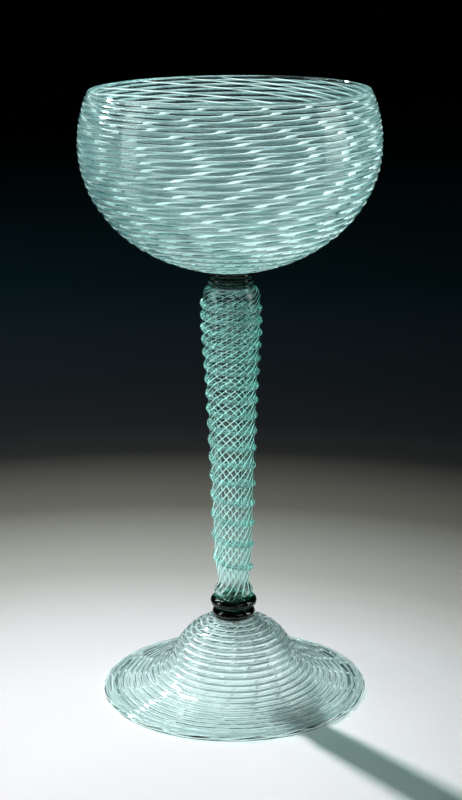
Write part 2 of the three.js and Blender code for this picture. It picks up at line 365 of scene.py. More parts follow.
def ridged_wall_tree():
    tree, given = new_tree("ridged_wall", "GeometryNodeTree", [
        ("Outline", GEOMETRY, "IN", None),
        ("Points Before", INT, "IN", 2),
        ("Stations", INT, "IN", 2),
        ("Points After", INT, "IN", 2),
        ("Columns", INT, "IN", 96),
        ("Rows per Ridge", INT, "IN", 6),
        ("Stations per Row", INT, "IN", 1),
        ("Hand", FLOAT, "IN", RIGHT_HANDED),
        ("Ridge Share", FLOAT, "IN", 1.0),
        ("Ridge Sharpness", FLOAT, "IN", 2.0),
        ("Unevenness", FLOAT, "IN", 0.1 * MM),
        ("Glass", MATERIAL, "IN", None),
        ("Wall", GEOMETRY, "OUT", None),
    ])
    outline, columns, stations = given["Outline"], given["Columns"], given["Stations"]
    before, per_row = given["Points Before"], given["Stations per Row"]

    # The rows slant, so a left-handed wall counts its columns from the other end.
    rows = ((stations + columns) / per_row).math("CEIL") + 1
    grid, row, column = grid_with_steps(tree, rows, columns + 1)
    climb = columns * 0.5 - (columns * 0.5 - column) * given["Hand"]
    station = (row * per_row - climb).math("MAXIMUM", 0).math("MINIMUM", stations - 1)
    sampled = sample_point(tree, outline, station + before)
    after = sample_point(tree, outline, station + before + 1)
    change = after - sample_point(tree, outline, station + before - 1)
    along = in_section(tree, change).math("NORMALIZE")
    outwards = vector_of(tree, along.part("Z") * -1, 0, along.part("X"))

    # Each station carries the height of its ridge in Y. The ridge fades in and out at its two ends.
    phase = (row / given["Rows per Ridge"]).math("FRACT")
    from_crest = phase.math("MINIMUM", 1 - phase)
    from_middle = (from_crest * 2 / given["Ridge Share"]).math("MINIMUM", 1)
    bell = 1 - from_middle ** given["Ridge Sharpness"]
    from_end = station.math("MINIMUM", stations - 1 - station)
    fade = (from_end / columns * FADES_PER_TURN).math("MINIMUM", 1)
    lifted = in_section(tree, sampled) + outwards * (bell * fade * sampled.part("Y"))
    angle = column / columns * math.tau
    ridged = set_position(tree, grid, turned_place(tree, lifted, angle))

    upper = turned_sheet(tree, outline, 0, before + 1, columns)
    lower = turned_sheet(tree, outline, before + stations - 1, given["Points After"] + 1, columns)
    join = tree.nodes.new("GeometryNodeJoinGeometry")
    for sheet in (upper, ridged, lower):
        tree.links.new(sheet, join.inputs[0])
    welded = make(tree, "GeometryNodeMergeByDistance", {"Geometry": join.outputs[0], "Distance": WELD})

    waves = make(tree, "ShaderNodeTexNoise", {"Scale": UNEVEN_SCALE, "Detail": 1.0})
    height = Field(tree, tree.nodes.new("GeometryNodeInputPosition").outputs[0]).part("Z")
    still = (height / STILL_BELOW).math("MINIMUM", 1).math("MAXIMUM", 0)
    shift = (Field(tree, waves.outputs["Color"]) - (0.5, 0.5, 0.5)) * (still * given["Unevenness"])
    uneven = make(tree, "GeometryNodeSetPosition", {"Geometry": welded.outputs[0], "Offset": shift})
    finish_tree(tree, uneven.outputs[0], given["Glass"])
    return tree


ridged_wall = ridged_wall_tree()
print("ridged_wall has", len(ridged_wall.nodes), "nodes")

# %% [markdown]
# ## Geometry Nodes: bands, canes and the trail
# A strand with a flat oval section follows the stations of its winding and tapers to nothing at both
# ends. A negative lift sinks it into the glass. Its width is a fixed part and a share of the pitch, so
# it can widen where the turns stand further apart. Canes are copies of one strand set round the axis,
# and a spread moves each a little off its even place, as hand work does. The same tree makes the milled
# trail: there the strand swells and shrinks many times in each turn, as it does when a toothed wheel is
# pressed along it while it is hot.

# %% Tree for wound strands
SPREAD_SEED = 3


def wound_strand_tree():
    tree, given = new_tree("wound_strand", "GeometryNodeTree", [
        ("Stations", GEOMETRY, "IN", None),
        ("Station Count", INT, "IN", 2),
        ("Stations per Turn", INT, "IN", 96),
        ("Stations per Step", INT, "IN", 3),
        ("Starts", INT, "IN", 1),
        ("Hand", FLOAT, "IN", RIGHT_HANDED),
        ("Head Start", FLOAT, "IN", 0.0),
        ("Width", FLOAT, "IN", 1 * MM),
        ("Width Share", FLOAT, "IN", 0.0),
        ("Thickness", FLOAT, "IN", 1 * MM),
        ("Lift", FLOAT, "IN", 0.0),
        ("Corners", INT, "IN", 8),
        ("Taper Turns", FLOAT, "IN", 0.05),
        ("Milling", FLOAT, "IN", 0.0),
        ("Mills per Turn", FLOAT, "IN", 0.0),
        ("Spread", FLOAT, "IN", 0.0),
        ("Glass", MATERIAL, "IN", None),
        ("Strands", GEOMETRY, "OUT", None),
    ])
    stations, count, per_turn = given["Stations"], given["Station Count"], given["Stations per Turn"]

    # One flat grid for each strand, and every point knows the number of its strand.
    steps = ((count - 1) / given["Stations per Step"]).math("FLOOR") + 1
    grid, step, corner = grid_with_steps(tree, steps, given["Corners"] + 1)
    spots = make(tree, "GeometryNodeMeshLine", {"Count": given["Starts"], "Offset": (0, 0, 0)})
    copies = make(tree, "GeometryNodeInstanceOnPoints", {"Points": spots.outputs[0], "Instance": grid})
    number = Field(tree, tree.nodes.new("GeometryNodeInputIndex").outputs[0])
    chance = make(tree, "FunctionNodeRandomValue", {2: -0.5, 3: 0.5, "ID": number, "Seed": SPREAD_SEED},
                  data_type="FLOAT")
    spread = Field(tree, chance.outputs[1]) * given["Spread"] + number
    numbered = make(tree, "GeometryNodeStoreNamedAttribute", {
        "Geometry": copies.outputs[0], "Name": "copy", "Value": spread}, data_type="FLOAT",
        domain="INSTANCE")
    laid_flat = make(tree, "GeometryNodeRealizeInstances", {"Geometry": numbered.outputs[0]}).outputs[0]
    copy = Field(tree, make(tree, "GeometryNodeInputNamedAttribute", {"Name": "copy"}).outputs[0])

    # Where each step lies on the wall, and which way is out of the wall there.
    station = step * given["Stations per Step"]
    turns = station / per_turn
    angle = (copy / given["Starts"] - turns * given["Hand"] + given["Head Start"]) * math.tau
    point = sample_point(tree, stations, station)
    down = sample_point(tree, stations, station + 1) - sample_point(tree, stations, station - 1)
    along_wall = down.math("NORMALIZE")
    out_of_wall = vector_of(tree, along_wall.part("Z") * -1, 0, along_wall.part("X"))
    outwards = turned_place(tree, out_of_wall, angle)

    # The strand runs round the axis and down the wall at once, and its width lies across that run.
    cosine, sine = angle.math("COSINE"), angle.math("SINE")
    sweep = point.part("X") * given["Hand"] / per_turn * -math.tau
    round_step = vector_of(tree, sine * sweep * -1, cosine * sweep, 0)
    down_step = turned_place(tree, down * 0.5, angle)
    run = (round_step + down_step).math("NORMALIZE")
    side = run.math("CROSS_PRODUCT", outwards)

    last = (steps - 1) * given["Stations per Step"] / per_turn
    from_end = turns.math("MINIMUM", last - turns)
    taper = (from_end / given["Taper Turns"]).math("MINIMUM", 1) ** 0.5
    milled = (turns * given["Mills per Turn"] * math.tau).math("COSINE") * given["Milling"] * 0.5
    size = taper * (milled + 1 - given["Milling"] * 0.5)
    around = corner / given["Corners"] * math.tau
    pitch = down.math("LENGTH") * 0.5 * per_turn / given["Starts"]
    width = pitch * given["Width Share"] + given["Width"]
    sideways = around.math("COSINE") * width * 0.5 * size
    up = around.math("SINE") * given["Thickness"] * 0.5 * size + given["Lift"]
    place = turned_place(tree, point, angle) + side * sideways + outwards * up
    strand = set_position(tree, laid_flat, place)
    closed = make(tree, "GeometryNodeMergeByDistance", {"Geometry": strand, "Distance": WELD})
    unnamed = make(tree, "GeometryNodeRemoveAttribute", {"Geometry": closed.outputs[0], "Name": "copy"})
    finish_tree(tree, unnamed.outputs[0], given["Glass"])
    return tree


wound_strand = wound_strand_tree()
print("wound_strand has", len(wound_strand.nodes), "nodes")

# %% [markdown]
# ## From a tree to a plain mesh
# A modifier runs the tree on a mesh that holds the outline's points. Its inputs are set by their
# sockets' identifiers. The result is kept as a plain mesh, and the helper object goes away.

# %% Grow a piece


def point_mesh(name, points, extras):
    """Points of an outline. Y is free in a half section, so it can hold a number for each point."""
    mesh = bpy.data.meshes.new(name)
    mesh.from_pydata([(p.x, extra, p.y) for p, extra in zip(points, extras or [0] * len(points))], [], [])
    return mesh


def signed_volume(mesh):
    """The mesh's volume, which is above zero when its faces point outwards."""
    mesh.calc_loop_triangles()
    corners = [[mesh.vertices[v].co for v in t.vertices] for t in mesh.loop_triangles]
    return sum(a.dot(b.cross(c)) for a, b, c in corners) / 6


def grow(name, points, tree, values, extras=None):
    """Runs a tree on the points and returns the result as an object with a plain mesh."""
    holder = bpy.data.objects.new(name + "_points", point_mesh(name + "_points", points, extras))
    scene.collection.objects.link(holder)
    modifier = holder.modifiers.new("grow", "NODES")
    modifier.node_group = tree
    for socket in tree.interface.items_tree:
        if socket.in_out == "INPUT" and socket.name in values:
            modifier[socket.identifier] = values[socket.name]
    evaluated = holder.evaluated_get(bpy.context.evaluated_depsgraph_get())
    mesh = bpy.data.meshes.new_from_object(evaluated)
    mesh.name = name
    bpy.data.objects.remove(holder)
    piece = bpy.data.objects.new(name, mesh)
    scene.collection.objects.link(piece)
    triangles = sum(len(p.vertices) - 2 for p in mesh.polygons)
    print(f"{name}: {triangles} triangles, {signed_volume(mesh) / MM ** 3:.0f} mm3")
    return piece


def wind(name, stations, per_turn, values):
    """A strand, or a ring of them, wound along stations."""
    return grow(name, stations, wound_strand, {
        "Station Count": len(stations), "Stations per Turn": per_turn, **values})


print("trees to grow a piece from:", ridged_wall.name, "and", wound_strand.name)

# %% [markdown]
# ## The skin of blown glass
# Glass that was blown and turned by hand has slow waves, which bend what is seen through it, and a film
# of faint smears, which blur its gloss here and there. All the glasses share the two effects, each with
# its own amount, so they are one shader group.

# %% Group: the skin of blown glass
SMEAR_SCALE = 60.0
SMEAR_CONTRAST = 3


def blown_skin_group():
    group, given = new_tree("blown_skin", "ShaderNodeTree", [
        ("Wave Scale", FLOAT, "IN", 90.0),
        ("Wave Strength", FLOAT, "IN", 0.1),
        ("Base Roughness", FLOAT, "IN", 0.02),
        ("Film", FLOAT, "IN", 0.05),
        ("Normal", VECTOR, "OUT", None),
        ("Roughness", FLOAT, "OUT", None),
    ])
    where = group.nodes.new("ShaderNodeTexCoord").outputs["Object"]
    waves = make(group, "ShaderNodeTexNoise", {"Vector": where, "Scale": given["Wave Scale"], "Detail": 2.0})
    bump = make(group, "ShaderNodeBump", {
        "Strength": given["Wave Strength"], "Distance": MM, "Height": waves.outputs["Fac"]})
    smears = make(group, "ShaderNodeTexNoise", {"Vector": where, "Scale": SMEAR_SCALE, "Detail": 4.0})
    smeared = Field(group, smears.outputs["Fac"]) ** SMEAR_CONTRAST
    film = smeared * given["Film"] + given["Base Roughness"]
    out = group.nodes.new("NodeGroupOutput")
    group.links.new(bump.outputs[0], out.inputs["Normal"])
    group.links.new(film.socket, out.inputs["Roughness"])
    return group


blown_skin = blown_skin_group()
print("blown_skin puts out", [s.name for s in blown_skin.interface.items_tree if s.in_out == "OUTPUT"])

# %% [markdown]
# ## Glass
# Clear glass has hardly any colour of its own at the surface. Its tint comes from the way that light
# makes inside it, so the edges of the bowl, where the path is long, are a deeper blue-green. A Volume
# Absorption node gives that. A shadow ray only asks how much light gets through to what lies behind,
# and it goes straight on with a plain tint: that is the Light Path mix, which keeps the shadow clean.
# The bowl, the stem and the foot are one glass on the real goblet. Here they differ a little in how
# much light reaches the canes inside them, and the foot, whose edge is doubled, has a greyer tint.

# %% Glass materials
GLASS_IOR = 1.47


def new_material(name):
    material = bpy.data.materials.new(name)
    material.use_nodes = True
    tree = material.node_tree
    tree.nodes.clear()
    return material, tree


def glass_material(name, surface, shadow, depth, density, skin, clear=1.0):
    """Glass whose tint comes from its depth. surface, shadow and depth are colours, density is how
    strongly depth tints, per metre, and clear is the share of light that goes through."""
    material, tree = new_material(name)
    look = make(tree, "ShaderNodeGroup", skin, node_tree=blown_skin)
    shader = make(tree, "ShaderNodeBsdfPrincipled", {
        "Base Color": surface, "Metallic": 0.0, "IOR": GLASS_IOR, "Transmission Weight": clear,
        "Roughness": look.outputs["Roughness"], "Normal": look.outputs["Normal"]})
    passed = make(tree, "ShaderNodeBsdfTransparent", {"Color": shadow})
    rays = tree.nodes.new("ShaderNodeLightPath")
    mix = make(tree, "ShaderNodeMixShader", (
        rays.outputs["Is Shadow Ray"], shader.outputs[0], passed.outputs[0]))
    inside = make(tree, "ShaderNodeVolumeAbsorption", {"Color": depth, "Density": density})
    out = tree.nodes.new("ShaderNodeOutputMaterial")
    tree.links.new(mix.outputs[0], out.inputs["Surface"])
    tree.links.new(inside.outputs[0], out.inputs["Volume"])
    return material


CLEAR_SURFACE = (0.97, 1, 0.995, 1)
CLEAR_DEPTH = (0.3, 0.72, 0.7, 1)
CLEAR_DENSITY = 180.0
CLEAR_SKIN = {"Wave Scale": 70.0, "Wave Strength": 0.12, "Base Roughness": 0.01, "Film": 0.06}
TRAIL_SKIN = {"Wave Scale": 260.0, "Wave Strength": 0.2, "Base Roughness": 0.02, "Film": 0.1}
DARK_SKIN = {"Wave Scale": 90.0, "Wave Strength": 0.08, "Base Roughness": 0.015, "Film": 0.05}

clear_glass = glass_material(
    "clear_glass", CLEAR_SURFACE, shadow=(0.86, 0.92, 0.91, 1), depth=CLEAR_DEPTH,
    density=CLEAR_DENSITY, skin=CLEAR_SKIN)
stem_clear = glass_material(
    "stem_glass", CLEAR_SURFACE, shadow=(0.62, 0.68, 0.65, 1), depth=CLEAR_DEPTH,
    density=CLEAR_DENSITY, skin=CLEAR_SKIN)
foot_clear = glass_material(
    "foot_glass", CLEAR_SURFACE, shadow=(0.93, 0.98, 0.97, 1), depth=(0.44, 0.6, 0.58, 1),
    density=270.0, skin=CLEAR_SKIN)
trail_glass = glass_material(
    "trail_glass", (0.86, 0.97, 0.96, 1), shadow=(0.7, 0.92, 0.88, 1), depth=(0.26, 0.72, 0.68, 1),
    density=260.0, skin=TRAIL_SKIN, clear=0.93)
dark_glass = glass_material(
    "dark_green_glass", (0.75, 0.95, 0.9, 1), shadow=(0.1, 0.3, 0.25, 1), depth=(0.02, 0.55, 0.4, 1),
    density=450.0, skin=DARK_SKIN)
glasses = (clear_glass, stem_clear, foot_clear, trail_glass, dark_glass)
print("glasses:", [glass.name for glass in glasses])

# %% [markdown]
# ## Milky glass
# The canes are white milky glass drawn out thin. The bands between the ridges hold much less milk, so
# they are a pale grey-green that the far wall shows through. Their glass comes in two copies: a lighter
# one on the foot, painted light for the bright floor round it, and a darker one on the bowl, painted
# shade for the dark room round it. The milk is denser in some stretches and thinner in others, in
# streaks with a finer grain in them. Light scatters inside milky glass, and subsurface scattering gives
# that soft look. The clear glass round it already has the gloss.

# %% Milky materials
STREAK_SCALE, STREAK_WEIGHT = 120.0, 0.7
GRAIN_SCALE, GRAIN_WEIGHT = 900.0, 0.3
THIN_MILK, THICK_MILK = 0.3, 0.7
SCATTER_DEPTH = 1.5 * MM


def milky_material(name, thin, thick, least, most):
    """Milky glass. thin and thick are its colours, least and most its density."""
    material, tree = new_material(name)
    where = tree.nodes.new("ShaderNodeTexCoord").outputs["Object"]
    streaks = make(tree, "ShaderNodeTexNoise", {"Vector": where, "Scale": STREAK_SCALE, "Detail": 3.0})
    grain = make(tree, "ShaderNodeTexNoise", {"Vector": where, "Scale": GRAIN_SCALE, "Detail": 2.0})
    streaked = Field(tree, streaks.outputs["Fac"]) * STREAK_WEIGHT
    milk = streaked + Field(tree, grain.outputs["Fac"]) * GRAIN_WEIGHT
    tint = make(tree, "ShaderNodeValToRGB", {"Fac": milk})
    low, high = tint.color_ramp.elements
    low.position, low.color = THIN_MILK, thin
    high.position, high.color = THICK_MILK, thick
    density = make(tree, "ShaderNodeMapRange", {
        "Value": milk, "From Min": THIN_MILK, "From Max": THICK_MILK, "To Min": least, "To Max": most})
    shader = make(tree, "ShaderNodeBsdfPrincipled", {
        "Base Color": tint.outputs[0], "Alpha": density.outputs[0], "Metallic": 0.0, "Roughness": 0.2,
        "Specular IOR Level": 0.0, "Subsurface Weight": 1.0, "Subsurface Radius": (1, 1, 1),
        "Subsurface Scale": SCATTER_DEPTH})
    out = tree.nodes.new("ShaderNodeOutputMaterial")
    tree.links.new(shader.outputs[0], out.inputs["Surface"])
    return material


white_thread = milky_material("white_thread", (0.9, 0.97, 0.98, 1), (1, 1, 1, 1), 0.9, 1.0)
# Two copies of one band glass: lighter on the foot as painted light, darker on the bowl as painted shade.
lit_band_milk = milky_material("lit_band_milk", (0.3, 0.4, 0.41, 1), (0.47, 0.55, 0.56, 1), 0.5, 0.75)
shaded_band_milk = milky_material("shaded_band_milk", (0.2, 0.29, 0.3, 1), (0.34, 0.43, 0.44, 1), 0.55, 0.85)
print("milky glasses:", [glass.name for glass in (white_thread, lit_band_milk, shaded_band_milk)])

# %% [markdown]
# ## The bowl's outline
# The bowl is widest a little below its rim, and from there its shoulder runs in to the lip. Two quarter
# ellipses make that form, one above the widest circle and one below it. The ridge stands out from the
# outline, so the outline stays inside the frame's box by about the ridge's height there.

# %% Bowl outline
RIDGE_ROOM = 0.4 * MM
BOX_CLEARANCE = 0.05 * MM
SHOULDER_HEIGHT = 21 * MM
SHOULDER_WIDTH = 4.3 * MM
SEAT_RADIUS = 8.6 * MM
BOWL_WALL = 1.3 * MM
SHOULDER_STEPS, CUP_STEPS = 24, 90

bowl_low, bowl_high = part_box("bowl_wall")
bowl_radius = frame_high.x - RIDGE_ROOM - BOX_CLEARANCE
equator_height = bowl_high.z - SHOULDER_HEIGHT


def quarter_ellipse(radius, height, reach, start, end, steps):
    """Points of an ellipse about the axis, its widest circle at that height, between two angles."""
    points = []
    for i in range(steps + 1):
        angle = start + (end - start) * i / steps
        points.append(Vector((radius * math.cos(angle), height + reach * math.sin(angle))))
    return points


rim_angle = math.acos((bowl_radius - SHOULDER_WIDTH) / bowl_radius)
seat_angle = math.acos(SEAT_RADIUS / bowl_radius)
shoulder_reach = (SHOULDER_HEIGHT - BOWL_WALL / 2) / math.sin(rim_angle)
cup_reach = equator_height - bowl_low.z
shoulder = quarter_ellipse(bowl_radius, equator_height, shoulder_reach, rim_angle, 0, SHOULDER_STEPS)
cup = quarter_ellipse(bowl_radius, equator_height, cup_reach, 0, -seat_angle, CUP_STEPS)
bowl_outline = [*shoulder, *cup[1:]]
print("bowl outline:", round(lengths_along(bowl_outline)[-1] / MM, 1), "mm from lip to seat")

# %% [markdown]
# ## The bowl's wall
# The wall is a little over a millimetre thick, and its lip was melted round in the fire. One ridge runs
# round it from the lip to the seat. A wall, its ridge and its lip are one body of glass, so one closed
# mesh holds them all, and light bends only where the real glass has a surface.

# %% Bowl wall
BOWL_FLOOR = 2.4 * MM
LIP_STEPS = 8
WALL_UNEVENNESS = 0.12 * MM

Ridges = namedtuple("Ridges", [
    "starts", "hand", "pitches", "rows", "stations_per_row", "height_share", "greatest_height",
    "width_share"])
bowl_ridges = Ridges(
    starts=1, hand=LEFT_HANDED, pitches=(1.8 * MM, 6.0 * MM), rows=16, stations_per_row=9,
    height_share=0.15, greatest_height=0.5 * MM, width_share=0.52)


def ridged_piece(name, outline, before, after, ridges, glass):
    """The ridged wall of a piece, the stations of its ridges, and how many of them make a turn. before
    and after are points that close the wall. Height and width of a ridge are shares of its pitch."""
    per_turn = ridges.starts * ridges.rows * ridges.stations_per_row
    stations, pitches = stations_down(outline, ridges.starts, ridges.pitches, per_turn)
    heights = [min(ridges.height_share * pitch, ridges.greatest_height) for pitch in pitches]
    wall = grow(name, [*before, *stations, *after], ridged_wall, {
        "Points Before": len(before), "Stations": len(stations), "Points After": len(after),
        "Columns": per_turn, "Hand": ridges.hand, "Rows per Ridge": ridges.rows,
        "Stations per Row": ridges.stations_per_row, "Ridge Share": ridges.width_share,
        "Unevenness": WALL_UNEVENNESS, "Glass": glass},
        [0] * len(before) + heights + [0] * len(after))
    return wall, stations, per_turn


inside_down = moved_in(bowl_outline, BOWL_WALL)
lip_middle = (bowl_outline[0] + inside_down[0]) / 2
lip = arc(lip_middle, inside_down[0], -180, LIP_STEPS)
floor_height = inside_down[-1].y + (BOWL_FLOOR - BOWL_WALL)
inside_up = [Vector((0, floor_height)), *[p for p in reversed(inside_down) if p.y > floor_height]]
bowl_wall, bowl_stations, bowl_per_turn = ridged_piece(
    "bowl_glass", bowl_outline, [*inside_up[:-1], *lip[:-1]], [Vector((0, bowl_low.z))], bowl_ridges,
    clear_glass)

# %% [markdown]
# ## Milk and canes in the bowl
# The milky band lies just under the surface, half a turn after the ridge, so it fills the space between
# two turns. Sixteen white canes go round the other way and lie deep in the wall. They stand wide apart
# under the lip and crowd together towards the seat, as they do where hot glass was twisted most.

# %% Bowl milk and canes
HALF_TURN = 0.5
CANE_COUNT = 16
CANES_PER_TURN = 144
CANE_SPREAD = 0.5

bowl_milk = wind("bowl_milk", bowl_stations, bowl_per_turn, {
    "Stations per Step": 2, "Starts": 1, "Hand": LEFT_HANDED, "Head Start": HALF_TURN,
    "Width": -0.25 * MM, "Width Share": 0.48, "Thickness": 0.3 * MM, "Lift": -0.25 * MM,
    "Corners": 10, "Glass": shaded_band_milk})
cane_stations, _ = stations_down(bowl_outline, CANE_COUNT, (2.9 * MM, 0.5 * MM), CANES_PER_TURN, easing=2)
bowl_threads = wind("bowl_threads", cane_stations, CANES_PER_TURN, {
    "Stations per Step": 1, "Starts": CANE_COUNT, "Hand": RIGHT_HANDED, "Width": 0.55 * MM,
    "Thickness": 0.3 * MM, "Lift": -0.95 * MM, "Corners": 6, "Spread": CANE_SPREAD,
    "Glass": white_thread})

# %% [markdown]
# ## The stem
# The stem is a blown tube that swells towards the bowl, with a short neck above its lower ring. Sixteen
# thin canes run round it steeply, just under a clear skin that each of them lifts a little. So the wall
# and the canes share one winding with sixteen starts.

# %% Stem wall and canes
STEM_RADIUS = 10.6 * MM
STEM_COVER = 0.7 * MM
STEM_WALL = 1.6 * MM
STEM_SHARES = [(0.835, 1), (0.94, 0.992), (1, 0.971), (1, 0.862), (0.946, 0.799), (0.863, 0.691),
               (0.786, 0.536), (0.722, 0.396), (0.675, 0.231), (0.626, 0.117), (0.566, 0.07),
               (0.55, 0.043), (0.7, 0.018), (0.6, 0)]
STEM_STEPS = 6
stem_ridges = Ridges(
    starts=CANE_COUNT, hand=RIGHT_HANDED, pitches=(1.9 * MM, 5.0 * MM), rows=6, stations_per_row=1,
    height_share=0.05, greatest_height=0.12 * MM, width_share=1.0)

stem_low, stem_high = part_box("stem_tube")
stem_length = stem_high.z - stem_low.z
stem_points = [Vector((r * STEM_RADIUS + STEM_COVER, stem_low.z + h * stem_length))
               for r, h in STEM_SHARES]
stem_outline = smooth_curve(stem_points, STEM_STEPS)
bore_up = [Vector((p.x - STEM_WALL, p.y)) for p in reversed(stem_outline)]
stem_glass, stem_stations, stem_per_turn = ridged_piece(
    "stem_glass", stem_outline, bore_up, [bore_up[0]], stem_ridges, stem_clear)
stem_threads = wind("stem_threads", stem_stations, stem_per_turn, {
    "Stations per Step": 2, "Starts": CANE_COUNT, "Hand": RIGHT_HANDED, "Width": -0.24 * MM,
    "Width Share": 0.18, "Thickness": 0.22 * MM, "Lift": -0.1 * MM, "Corners": 6,
    "Glass": white_thread})

# %% [markdown]
# ## The trail
# A strand of blue-green glass was laid hot over the finished stem, wound the other way, and milled with
# a toothed wheel. It is sunk a little into the skin. Its turns are close together at the top and further
# apart below, and it ends above the neck.

# %% Trail
TRAIL_TOP_MARGIN, TRAIL_BASE_MARGIN = 5 * MM, 8 * MM
TRAIL_PITCHES = (4.7 * MM, 10.5 * MM)
TRAIL_EASING = 1.3
TRAIL_PER_TURN = 180
TRAIL_WIDTH, TRAIL_HEIGHT = 2.2 * MM, 1.5 * MM
MILLS_PER_TURN = 36.0

stem_lengths = lengths_along(stem_outline)
trail_end = stem_lengths[-1] - TRAIL_BASE_MARGIN
trail_outline = [place_at(stem_outline, stem_lengths, TRAIL_TOP_MARGIN)]
trail_outline += [p for p, d in zip(stem_outline, stem_lengths) if TRAIL_TOP_MARGIN < d < trail_end]
trail_stations, _ = stations_down(trail_outline, 1, TRAIL_PITCHES, TRAIL_PER_TURN, TRAIL_EASING)
stem_trail = wind("stem_trail_glass", trail_stations, TRAIL_PER_TURN, {
    "Stations per Step": 1, "Starts": 1, "Hand": LEFT_HANDED, "Width": TRAIL_WIDTH,
    "Thickness": TRAIL_HEIGHT, "Lift": 0.4 * MM, "Corners": 10, "Taper Turns": 0.4, "Milling": 0.3,
    "Mills per Turn": MILLS_PER_TURN, "Glass": trail_glass})

# %% [markdown]
# ## The foot
# The foot is a thin bell that ends in a wide skirt, and its edge was folded under while it was hot, so
# there the glass is twice as thick and the lip is round. The frame keeps the wall and the fold apart.
# Here they are one body, because clear glass would show a seam. The underside of the fold rises a
# little inwards, so that the foot stands on its lip and its glass never lies in the floor.

# %% Foot wall
FOOT_WALL = 1.25 * MM
FOLD_WIDTH = 6.5 * MM
FOLD_ARCH = 0.35 * MM
LIP_RADIUS = 1.1 * MM
FOOT_SEAT_RADIUS = 8.4 * MM
FOOT_SHARES = [(0.228, 0.955), (0.297, 0.89), (0.355, 0.806), (0.404, 0.703), (0.443, 0.587),
               (0.466, 0.484), (0.492, 0.403), (0.556, 0.3), (0.656, 0.2), (0.765, 0.132)]
FOOT_STEPS = 8
FOOT_LIP_STEPS = 12
foot_ridges = Ridges(
    starts=1, hand=LEFT_HANDED, pitches=(2.8 * MM, 2.6 * MM), rows=16, stations_per_row=9,
    height_share=0.13, greatest_height=0.4 * MM, width_share=0.5)

rim_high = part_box("foot_rim")[1]
foot_radius, fold_thickness = rim_high.x, rim_high.z
foot_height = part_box("foot_wall")[1].z
fold_inner = foot_radius - FOLD_WIDTH
foot_points = [Vector((FOOT_SEAT_RADIUS, foot_height)),
               *[Vector((r * foot_radius, h * foot_height)) for r, h in FOOT_SHARES],
               Vector((fold_inner, fold_thickness))]
foot_skirt = smooth_curve(foot_points, FOOT_STEPS)
foot_under = moved_in(foot_skirt, FOOT_WALL)
under_up = [p for p in reversed(foot_under) if p.x < fold_inner]
lip_centre = Vector((foot_radius - LIP_RADIUS, LIP_RADIUS))
foot_lip = arc(lip_centre, lip_centre + Vector((0, LIP_RADIUS)), -180, FOOT_LIP_STEPS)
fold_base = Vector((fold_inner, FOLD_ARCH))
foot_outline = [*foot_skirt, foot_lip[0]]
foot_glass, foot_stations, foot_per_turn = ridged_piece(
    "foot_glass", foot_outline, [Vector((0, foot_height))],
    [*foot_lip[1:], fold_base, *under_up, Vector((0, under_up[-1].y))], foot_ridges, foot_clear)

# %% [markdown]
# ## Milk and canes in the foot
# The foot is built as the bowl is, with a band between its ridges, but that band is the lighter copy of
# the milky band glass, painted light for the bright floor round the foot. Its canes keep an even pitch,
# and they follow the fold round the lip and back under it, because they were in the glass before its
# edge was folded.

# %% Foot milk and canes
FOOT_CANE_PITCH = 2.6 * MM

foot_milk = wind("foot_milk", foot_stations, foot_per_turn, {
    "Stations per Step": 2, "Starts": 1, "Hand": LEFT_HANDED, "Head Start": HALF_TURN, "Width": 0.0,
    "Width Share": 0.34, "Thickness": 0.3 * MM, "Lift": -0.25 * MM, "Corners": 10,
    "Glass": lit_band_milk})
folded_outline = [*foot_outline, *foot_lip[1:], fold_base]
foot_cane_stations, _ = stations_down(
    folded_outline, CANE_COUNT, (FOOT_CANE_PITCH, FOOT_CANE_PITCH), CANES_PER_TURN)
foot_threads = wind("foot_threads", foot_cane_stations, CANES_PER_TURN, {
    "Stations per Step": 1, "Starts": CANE_COUNT, "Hand": RIGHT_HANDED, "Width": 0.32 * MM,
    "Thickness": 0.25 * MM, "Lift": -0.7 * MM, "Corners": 6, "Spread": CANE_SPREAD,
    "Glass": white_thread})

# %% [markdown]
# ## Rings and pad
# The dark rings and the clear pad are discs with a full round edge, each a drop of hot glass that was
# pressed flat. The tree for ridged walls makes them too, from their whole section and with no ridge.

# %% Rings and pad
DISC_COLUMNS = 96
DISC_EDGE_STEPS = 24
DISC_UNEVENNESS = 0.1 * MM


def disc_profile(low, high):
    """A disc with a full round edge, from its top middle down to its bottom middle."""
    half = (high.z - low.z) / 2
    middle = Vector((high.x - half, low.z + half))
    edge = arc(middle, middle + Vector((0, half)), -180, DISC_EDGE_STEPS)
    return [Vector((0, high.z)), *edge, Vector((0, low.z))]


def place_in_frame(piece, slot, *nodes):
    """The piece moves with the goblet and stands for those nodes of the frame. slot is not used."""
    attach(piece, "root")
    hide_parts(*nodes)


for node, glass, slot in (
        ("lower_knop", dark_glass, "dark_green_glass"),
        ("lower_merese", dark_glass, "dark_green_glass"),
        ("upper_merese_01", dark_glass, "dark_green_glass"),
        ("upper_merese_02", dark_glass, "dark_green_glass"),
        ("stem_pad", clear_glass, "clear_glass")):
    profile = disc_profile(*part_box(node))
    disc = grow(node + "_glass", profile, ridged_wall, {
        "Points Before": 0, "Stations": 1, "Points After": len(profile) - 1, "Columns": DISC_COLUMNS,
        "Rows per Ridge": 1, "Unevenness": DISC_UNEVENNESS, "Glass": glass})
    place_in_frame(disc, slot, node)

# %% [markdown]
# ## Seats in the frame
# Every piece rides on the goblet's one body, and most of them stand for a piece of the frame. The canes
# of bowl and foot have none there, so they only ride and take the finish of the white thread.

